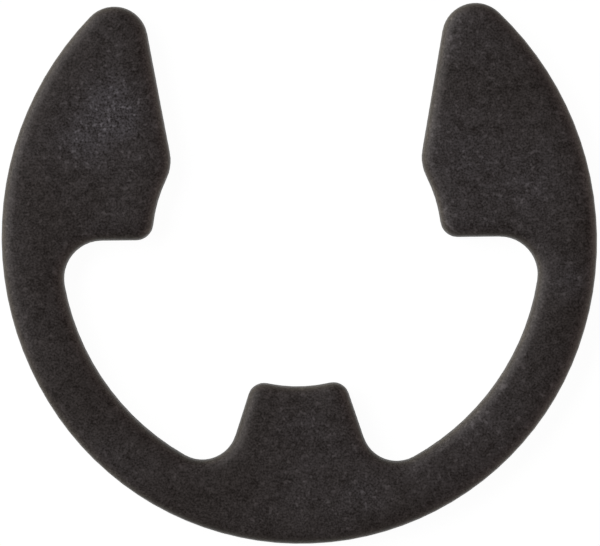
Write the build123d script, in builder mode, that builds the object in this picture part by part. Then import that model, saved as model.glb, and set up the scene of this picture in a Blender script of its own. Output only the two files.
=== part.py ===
"""E-type retaining ring for a 12.7 mm shaft, stamped from flat spring steel.

The clip lies flat on Z = 0, with the shaft's axis on Z and the mouth towards +Y. Its three
prongs, the two arm feet and the tab, seat on one circle at the bottom of the shaft's groove.
"""

import os
from math import acos, asin, cos, degrees, radians, sin, tan

from build123d import *

# Driving dimensions, in millimetres and degrees
thickness = 1.067

# Bow: the blanking die stands a little to one side of the piercing punch, so the outer circle
# and the pockets' circles lie off the centre line of the mouth and the tab
ring_radius = 10.07
ring_shift = 0.12
ring_drop = 0.24

# Arms: an outer arc leads from the ring's circle into each round tip, tangent to both
arm_radius = 10.79
tip_radius = 1.15
tip_height = 6.93

# Mouth: two straight edges, that wide apart at the shaft's axis, open out towards the tips
mouth_half_width = 3.74
mouth_angle = 10.2

# Seat: the circle of the three prongs
seat_radius = 4.925

# Pockets: from the flat foot of each arm round to the tab, whose sides point at the shaft's axis
foot_height = 0.09
pocket_radius = 8.36
pocket_offset = 0.20
tab_half_angle = 18.3

# Corner radii in the plane of the strip
prong_round = 1.44
foot_round = 0.60
tab_round = 0.56
pocket_top_round = 1.28
pocket_bottom_round = 1.18

# Section of the strip after blanking: the walls lean in from the burr's side, where every width
# above holds, and the edges are rolled over on the punch's side and just broken on the burr's side
wall_draft = 3.5
rolled_edge = 0.36
burr_edge = 0.06

sides = (1, -1)


def nearest_corner(sketch, point):
    """The vertex of a sketch that lies closest to a point."""
    return sketch.vertices().sort_by_distance(point)[0]


# Blank: the outer form, with the mouth's straight edges and a straight edge across the axis
ring_bottom = (ring_shift, -ring_drop - ring_radius)
mouth_slope = radians(mouth_angle)
tip_reach = mouth_half_width + tip_height * tan(mouth_slope) + tip_radius / cos(mouth_slope)
mouth_top = tip_height + tip_radius * sin(mouth_slope)

with BuildSketch() as blank:
    with BuildLine():
        ring = CenterArc((ring_shift, -ring_drop), ring_radius, 0, 360, mode=Mode.PRIVATE)
        arm_roots = []
        for side in sides:
            tip_centre = (side * tip_reach, tip_height)
            tip = CenterArc(tip_centre, tip_radius, 0, 360, mode=Mode.PRIVATE)
            arm = ConstrainedArcs(
                (ring, Tangency.ENCLOSING),
                (tip, Tangency.ENCLOSING),
                radius=arm_radius,
                selector=lambda arcs: arcs.sort_by(Axis.X)[-1 if side == 1 else 0],
            )
            arm_root, shoulder = arm.vertices().sort_by(Axis.Y)
            tip_top = (side * tip_reach, tip_height + tip_radius)
            mouth_end = (side * (tip_reach - tip_radius * cos(mouth_slope)), mouth_top)
            ThreePointArc(shoulder, tip_top, mouth_end)
            Line(mouth_end, (side * mouth_half_width, 0))
            arm_roots.append(arm_root)
        Line((-mouth_half_width, 0), (mouth_half_width, 0))
        ThreePointArc(arm_roots[0], ring_bottom, arm_roots[1])
    make_face()

# Pockets: each one is the part of a circle between the foot's line and the tab's side
tab_slope = radians(tab_half_angle)
tab_foot = (ring_radius * sin(tab_slope), -ring_radius * cos(tab_slope))

with BuildSketch() as pockets:
    for side in sides:
        with BuildSketch(mode=Mode.PRIVATE) as pocket:
            with Locations((ring_shift - side * pocket_offset, 0)):
                Circle(pocket_radius)
            with BuildLine():
                Polyline(
                    (0, foot_height),
                    (side * ring_radius, foot_height),
                    (side * ring_radius, -ring_radius),
                    (side * tab_foot[0], tab_foot[1]),
                    (0, 0),
                    close=True,
                )
            make_face(mode=Mode.INTERSECT)
            fillet(nearest_corner(pocket, (side * pocket_radius, foot_height)), pocket_top_round)
            fillet(pocket.vertices().sort_by(Axis.Y)[0], pocket_bottom_round)
        add(pocket.sketch)

# Polar angles of the prongs' corners on the seat circle, for the right-hand side
prong_angle = degrees(acos(mouth_half_width * cos(mouth_slope) / seat_radius)) - mouth_angle
foot_angle = degrees(asin(foot_height / seat_radius))
tab_angle = tab_half_angle - 90

with BuildPart() as e_clip:
    with BuildSketch() as outline:
        add(blank.sketch)
        Circle(seat_radius, mode=Mode.SUBTRACT)
        add(pockets.sketch, mode=Mode.SUBTRACT)
        for angle, corner_radius in (
            (prong_angle, prong_round),
            (foot_angle, foot_round),
            (tab_angle, tab_round),
        ):
            corner = Vector(seat_radius, 0).rotate(Axis.Z, angle)
            pair = [nearest_corner(outline, (side * corner.X, corner.Y)) for side in sides]
            fillet(pair, corner_radius)
    extrude(amount=thickness)
    draft(e_clip.faces().sort_by(Axis.Z)[1:-1], Plane.XY, wall_draft)
    fillet(e_clip.faces().sort_by(Axis.Z)[-1].edges(), rolled_edge)
    fillet(e_clip.faces().sort_by(Axis.Z)[0].edges(), burr_edge)
e_clip.part.label = "e_clip"

os.makedirs("parts", exist_ok=True)
export_step(e_clip.part, "parts/e_clip.step")
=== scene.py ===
from math import cos, pi, radians, sin

import bpy
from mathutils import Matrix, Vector


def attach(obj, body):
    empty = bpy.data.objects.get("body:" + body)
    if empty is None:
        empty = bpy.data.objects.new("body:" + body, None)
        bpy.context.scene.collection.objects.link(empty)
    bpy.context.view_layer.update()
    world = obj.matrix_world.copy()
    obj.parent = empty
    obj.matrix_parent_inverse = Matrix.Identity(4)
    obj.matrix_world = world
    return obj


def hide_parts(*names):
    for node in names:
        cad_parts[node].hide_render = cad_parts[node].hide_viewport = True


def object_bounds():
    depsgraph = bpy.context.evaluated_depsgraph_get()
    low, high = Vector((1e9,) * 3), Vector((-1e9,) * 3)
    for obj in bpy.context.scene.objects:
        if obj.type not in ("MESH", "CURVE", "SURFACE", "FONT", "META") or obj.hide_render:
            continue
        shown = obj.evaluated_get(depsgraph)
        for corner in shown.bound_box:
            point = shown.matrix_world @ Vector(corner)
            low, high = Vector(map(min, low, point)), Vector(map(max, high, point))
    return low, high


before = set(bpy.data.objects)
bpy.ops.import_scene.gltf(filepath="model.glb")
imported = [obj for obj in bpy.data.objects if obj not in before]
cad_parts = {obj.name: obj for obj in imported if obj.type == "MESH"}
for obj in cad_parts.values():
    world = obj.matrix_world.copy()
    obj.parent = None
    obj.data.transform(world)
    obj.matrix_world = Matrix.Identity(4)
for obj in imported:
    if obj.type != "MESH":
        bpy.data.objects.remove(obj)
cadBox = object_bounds()
lowCorner, highCorner = (Vector(corner) for corner in cadBox)
middle = (lowCorner + highCorner) / 2
span = highCorner - lowCorner
print("loaded the clip's frame")


# The clip: a finely meshed copy of the CAD clip, with the soft edges and the slight unevenness
# that stamping and tumbling leave on it. Lengths are in millimetres.
clipShape = {
    "workScale": 1000,  # from metres to millimetres, because Remesh takes no voxel below 0.0001
    "mergeGap": 0.0005,
    "voxel": 0.068,
    "smoothPasses": 2,
    "wallSlope": 0.15,  # a face is a wall where its normal rises no more than this
    "drawWidth": 0.95,  # how far in from the walls the cut has drawn the top face down
    "drawStart": 0.27,  # up to here from the walls the draw has its full depth
    "drawDepth": 0.045,
    "drawTop": 0.94,  # the walls are lifted by this share of the thickness to measure the draw
    "wavePitch": 0.9,
    "waveDepth": 0.006,
}


def activate(piece):
    bpy.ops.object.select_all(action="DESELECT")
    piece.select_set(True)
    bpy.context.view_layer.objects.active = piece


def copyMesh(source, name):
    piece = bpy.data.objects.new(name, source.data.copy())
    bpy.context.scene.collection.objects.link(piece)
    activate(piece)
    return piece


def scaleMesh(piece, factor):
    activate(piece)
    piece.scale = (factor, factor, factor)
    bpy.ops.object.transform_apply(location=False, rotation=False, scale=True)


# Adds a modifier with these settings and applies it.
def shape(piece, kind, **settings):
    activate(piece)
    modifier = piece.modifiers.new(kind.lower(), kind)
    for name, value in settings.items():
        setattr(modifier, name, value)
    bpy.ops.object.modifier_apply(modifier=modifier.name)


def makeClip():
    v = clipShape
    clip = copyMesh(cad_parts["e_clip"], "clip")
    scaleMesh(clip, v["workScale"])
    bpy.ops.object.mode_set(mode="EDIT")
    bpy.ops.mesh.select_all(action="SELECT")
    bpy.ops.mesh.remove_doubles(threshold=v["mergeGap"])
    bpy.ops.mesh.select_all(action="DESELECT")
    bpy.ops.object.mode_set(mode="OBJECT")

    skin = copyMesh(clip, "skin")

    # The walls alone, lifted to the top face, so that the distance to them is that to the edge.
    walls = copyMesh(clip, "walls")
    bpy.context.tool_settings.mesh_select_mode = (False, False, True)
    for face in walls.data.polygons:
        face.select = abs(face.normal.z) > v["wallSlope"]
    bpy.ops.object.mode_set(mode="EDIT")
    bpy.ops.mesh.delete(type="FACE")
    bpy.ops.object.mode_set(mode="OBJECT")
    walls.location.z = v["drawTop"] * span.z * v["workScale"]

    shape(clip, "REMESH", mode="VOXEL", voxel_size=v["voxel"], use_smooth_shade=True)
    shape(clip, "SMOOTH", iterations=v["smoothPasses"])
    shape(clip, "SHRINKWRAP", target=skin, wrap_method="NEAREST_SURFACEPOINT")
    draw = clip.vertex_groups.new(name="draw")
    draw.add(list(range(len(clip.data.vertices))), 0, "REPLACE")
    shape(
        clip, "VERTEX_WEIGHT_PROXIMITY", vertex_group="draw", target=walls,
        proximity_mode="GEOMETRY", proximity_geometry={"FACE"},
        min_dist=v["drawWidth"], max_dist=v["drawStart"], falloff_type="SHARP")
    shape(clip, "DISPLACE", direction="Z", strength=-v["drawDepth"], mid_level=0, vertex_group="draw")

    waves = bpy.data.textures.new("waves", "CLOUDS")
    waves.noise_scale = v["wavePitch"]
    shape(
        clip, "DISPLACE", direction="NORMAL", strength=v["waveDepth"], mid_level=1,
        texture=waves, texture_coords="LOCAL")
    clip.vertex_groups.clear()
    bpy.data.objects.remove(walls)
    bpy.data.objects.remove(skin)
    scaleMesh(clip, 1 / v["workScale"])
    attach(clip, "root")
    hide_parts("e_clip")
    return clip


clip = makeClip()
print("shaped the clip:", len(clip.data.polygons), "faces")


# A socket in a shader: sums and products of it add their Math nodes.
class Link:
    def __init__(self, tree, socket=None):
        self.tree = tree
        self.socket = socket

    def add(self, kind, settings=None, sockets=None, output=0):
        node = self.tree.nodes.new(kind)
        for name, value in (settings or {}).items():
            setattr(node, name, value)
        for name, value in (sockets or {}).items():
            if isinstance(value, Link):
                self.tree.links.new(value.socket, node.inputs[name])
            else:
                node.inputs[name].default_value = value
        return Link(self.tree, node.outputs[output] if len(node.outputs) else None)

    def maths(self, operation, first, second):
        return self.add("ShaderNodeMath", {"operation": operation}, {0: first, 1: second})

    def __add__(self, other):
        return self.maths("ADD", self, other)

    def __radd__(self, other):
        return self.maths("ADD", other, self)

    def __sub__(self, other):
        return self.maths("SUBTRACT", self, other)

    def __rsub__(self, other):
        return self.maths("SUBTRACT", other, self)

    def __mul__(self, other):
        return self.maths("MULTIPLY", self, other)

    def __rmul__(self, other):
        return self.maths("MULTIPLY", other, self)


# A colour between two colours, which are the Mix node's sockets 6 and 7.
def mix(shader, factor, first, second):
    first, second = (end if isinstance(end, Link) else (*end, 1) for end in (first, second))
    return shader.add(
        "ShaderNodeMix", {"data_type": "RGBA", "clamp_factor": True},
        {0: factor, 6: first, 7: second}, output=2)


def newMaterial(name):
    material = bpy.data.materials.new(name)
    material.use_nodes = True
    material.node_tree.nodes.clear()
    return material, Link(material.node_tree)


# The finish, black phosphate and oil: its shade runs from the dark colour to the light one, and
# grain, crystals and mottle vary it. Where the coating is thin it is paler, bluer and grainier.
# Lengths are in metres.
phosphate = {
    "darkColour": (0.0068, 0.0036, 0.0024),
    "lightColour": (0.1395, 0.1190, 0.1165),
    "bloomColour": (0.1580, 0.1455, 0.1590),  # the light colour where the coating is thin
    "bloomShare": 1.8,
    "darkWall": (0.0180, 0.0130, 0.0089),
    "lightWall": (0.1570, 0.1380, 0.1110),
    "wallTop": 0.00101,  # the walls' colours fade out between these heights
    "wallLow": 0.00078,
    "baseShade": 0.151,
    "thinShade": 0.25,
    "noiseMean": 0.5,
    "grainSize": 0.00007,
    "grainDetail": 2.0,
    "grainRoughness": 0.6,
    "grainAmount": 2.25,
    "grainEven": 0.345,  # share of the grain that is everywhere
    "grainThin": 0.82,  # share that the thin coating adds
    "crystalSize": 0.00018,
    "crystalDetail": 1.0,
    "crystalFrom": 0.57,
    "crystalTo": 0.74,
    "crystalAmount": 0.76,
    "crystalEven": 0.13,
    "crystalBump": 0.5,
    "mottleSize": 0.0003,
    "mottleDetail": 3.0,
    "mottleAmount": 0.33,
    "cloudSize": 0.0026,
    "cloudDetail": 3.0,
    "cloudFrom": 0.35,
    "cloudTo": 0.75,
    "cloudAmount": 0.22,
    "roughness": 0.58,
    "roughnessRange": 0.25,
    "specular": 0.22,
    "bumpStrength": 0.6,
    "bumpHeight": 0.000004,
}

# Patches of thin coating: place, radius and strength.
palePatches = [
    ((-0.0060, 0.0041), 0.0010, 0.35),
    ((-0.0062, 0.0050), 0.0011, 0.18),
    ((-0.0071, 0.0031), 0.0013, 0.20),
    ((-0.0064, 0.0043), 0.0027, 0.34),
    ((-0.0062, 0.0060), 0.0013, 0.10),
    ((-0.0062, 0.0023), 0.0016, 0.08),
    ((-0.0079, 0.0020), 0.0011, 0.13),
    ((-0.0076, 0.0037), 0.0012, 0.05),
    ((-0.0062, 0.0070), 0.0012, 0.12),
    ((-0.0086, -0.0036), 0.0022, 0.07),
    ((0.0064, 0.0024), 0.0039, 0.28),
    ((0.0064, 0.0065), 0.0021, 0.21),
    ((0.0093, -0.0015), 0.0011, 0.24),
    ((0.0068, -0.0064), 0.0024, 0.12),
    ((0.0044, -0.0079), 0.0023, 0.16),
    ((0.0022, -0.0087), 0.0012, 0.30),
    ((0.0000, -0.0064), 0.0022, 0.11),
]


def phosphateMaterial():
    v = phosphate
    material, shader = newMaterial("phosphate")
    place = shader.add("ShaderNodeTexCoord", output="Object")

    def noise(size, detail, roughness=0.5):
        return shader.add("ShaderNodeTexNoise", {}, {
            "Vector": place, "Scale": 1 / size, "Detail": detail, "Roughness": roughness})

    def ramp(value, low, high):
        return shader.add("ShaderNodeMapRange", {"interpolation_type": "SMOOTHSTEP"}, {
            "Value": value, "From Min": low, "From Max": high})

    grain = noise(v["grainSize"], v["grainDetail"], v["grainRoughness"])
    crystals = ramp(noise(v["crystalSize"], v["crystalDetail"]), v["crystalFrom"], v["crystalTo"])
    mottle = noise(v["mottleSize"], v["mottleDetail"])
    cloud = noise(v["cloudSize"], v["cloudDetail"])
    grainSwing = grain - v["noiseMean"]
    mottleSwing = mottle - v["noiseMean"]

    flat = shader.add("ShaderNodeVectorMath", {"operation": "MULTIPLY"}, {0: place, 1: (1, 1, 0)})
    patches = 0
    for (x, y), radius, strength in palePatches:
        away = shader.add(
            "ShaderNodeVectorMath", {"operation": "DISTANCE"}, {0: flat, 1: (x, y, 0)}, output="Value")
        patches = ramp(away, radius, 0) * strength + patches

    thin = ramp(cloud, v["cloudFrom"], v["cloudTo"]) * v["cloudAmount"] + patches * (mottleSwing + 1)
    shade = v["baseShade"] + thin * v["thinShade"] + mottleSwing * v["mottleAmount"]
    shade = shade + grainSwing * v["grainAmount"] * (thin * thin * v["grainThin"] + v["grainEven"])
    shade = shade + crystals * v["crystalAmount"] * (thin + v["crystalEven"])

    height = shader.add("ShaderNodeSeparateXYZ", {}, {0: place}, output="Z")
    wall = ramp(height, v["wallTop"], v["wallLow"])
    darkEnd = mix(shader, wall, v["darkColour"], v["darkWall"])
    lightEnd = mix(shader, thin * v["bloomShare"], v["lightColour"], v["bloomColour"])
    colour = mix(shader, shade, darkEnd, mix(shader, wall, lightEnd, v["lightWall"]))

    roughness = v["roughness"] + mottleSwing * v["roughnessRange"]
    relief = grain + crystals * v["crystalBump"]
    bump = shader.add(
        "ShaderNodeBump", {},
        {"Height": relief, "Strength": v["bumpStrength"], "Distance": v["bumpHeight"]})
    surface = shader.add(
        "ShaderNodeBsdfPrincipled", {},
        {"Base Color": colour, "Roughness": roughness, "Metallic": 0.0,
         "Specular IOR Level": v["specular"], "Normal": bump})
    shader.add("ShaderNodeOutputMaterial", {}, {"Surface": surface})
    return material


clip.data.materials.clear()
clip.data.materials.append(phosphateMaterial())
print("gave the clip its finish")


# The floor: dark to the light that falls on it, so that it throws little up at the walls, and
# lifted to white for the camera and for reflections. The clip's shadow stays on it.
floorValues = {
    "size": 60,  # in clip widths
    "greyLevel": 0.08,
    "whiteLift": 0.965,
}


def makeFloor():
    v = floorValues
    bpy.ops.object.select_all(action="DESELECT")
    bpy.ops.mesh.primitive_plane_add(size=v["size"] * span.x, location=(middle.x, middle.y, lowCorner.z))
    floor = bpy.context.object
    floor.name = "floor"
    material, shader = newMaterial("paperFloor")
    paper = shader.add("ShaderNodeBsdfDiffuse", {}, {"Color": (v["greyLevel"],) * 3 + (1,)})
    glow = shader.add("ShaderNodeEmission", {}, {"Strength": v["whiteLift"]})
    seen = shader.add("ShaderNodeLightPath", output="Is Camera Ray")
    mirrored = shader.add("ShaderNodeLightPath", output="Is Glossy Ray")
    lift = shader.add("ShaderNodeMixShader", {}, {0: shader.maths("MAXIMUM", seen, mirrored), 2: glow})
    both = shader.add("ShaderNodeAddShader", {}, {0: paper, 1: lift})
    shader.add("ShaderNodeOutputMaterial", {}, {"Surface": both})
    floor.data.materials.append(material)


makeFloor()
print("laid the floor")


# The light: low strips to the left and the right, a soft box high on the left, a faint strip in
# front, and dim light all round. The right and the front are a little warm. Angles are in
# degrees, and sizes are in clip widths.
lights = {
    "leftStrip": {
        "azimuth": 156, "elevation": 4.3, "size": (17, 2.2), "radiance": 21.3,
        "colour": (1, 0.99, 0.965)},
    "leftBox": {
        "azimuth": 156, "elevation": 44, "size": (16, 7.2), "radiance": 5.0, "colour": (1, 1, 1)},
    "rightStrip": {
        "azimuth": 0, "elevation": 4.0, "size": (30, 2.0), "radiance": 8.7, "colour": (1, 0.81, 0.75)},
    "frontStrip": {
        "azimuth": 298, "elevation": 18, "size": (24, 5), "radiance": 0.8, "colour": (1, 0.9, 0.84)},
}
studio = {
    "lightDistance": 16,  # in clip widths
    "worldLevel": 0.16,  # all round, but for the camera, which sees white
}


def makeLight(name, azimuth, elevation, size, radiance, colour):
    width, height = (side * span.x for side in size)
    data = bpy.data.lights.new(name, "AREA")
    data.shape = "RECTANGLE"
    data.size = width
    data.size_y = height
    data.energy = radiance * pi * width * height
    data.color = colour
    lamp = bpy.data.objects.new(name, data)
    bpy.context.scene.collection.objects.link(lamp)
    turn, rise = radians(azimuth), radians(elevation)
    aim = Vector((cos(turn) * cos(rise), sin(turn) * cos(rise), sin(rise)))
    lamp.location = middle + aim * studio["lightDistance"] * span.x
    lamp.rotation_euler = aim.to_track_quat("Z", "Y").to_euler()


def makeWorld():
    level = studio["worldLevel"]
    world = bpy.data.worlds.new("studio")
    bpy.context.scene.world = world
    world.use_nodes = True
    world.node_tree.nodes.clear()
    sky = Link(world.node_tree)
    seen = sky.add("ShaderNodeLightPath", output="Is Camera Ray")
    background = sky.add("ShaderNodeBackground", {}, {"Strength": seen * (1 - level) + level})
    sky.add("ShaderNodeOutputWorld", {}, {"Surface": background})


for lightName, lightValues in lights.items():
    makeLight(lightName, **lightValues)
makeWorld()
print("lit the scene")


# The camera: straight above the clip's middle, moved off it and turned by very little.
cameraValues = {
    "frameWidth": 1.0052,  # what the picture spans, in clip widths, as is the distance
    "distance": 25,
    "nearest": 0.01,  # shares of the distance between which the camera sees
    "farthest": 20,
    "turn": -0.600,  # degrees
    "aimX": 0.0000111,  # metres
    "aimY": 0.000041,
}


def makeCamera():
    v = cameraValues
    data = bpy.data.cameras.new("camera")
    distance = v["distance"] * span.x
    data.lens = data.sensor_width * distance / (v["frameWidth"] * span.x)
    data.clip_start = distance * v["nearest"]
    data.clip_end = distance * v["farthest"]
    camera = bpy.data.objects.new("camera", data)
    bpy.context.scene.collection.objects.link(camera)
    camera.location = (middle.x + v["aimX"], middle.y + v["aimY"], highCorner.z + distance)
    camera.rotation_euler = (0, 0, radians(v["turn"]))
    bpy.context.scene.camera = camera


makeCamera()
bpy.context.scene.view_settings.view_transform = "Standard"
print("placed the camera")
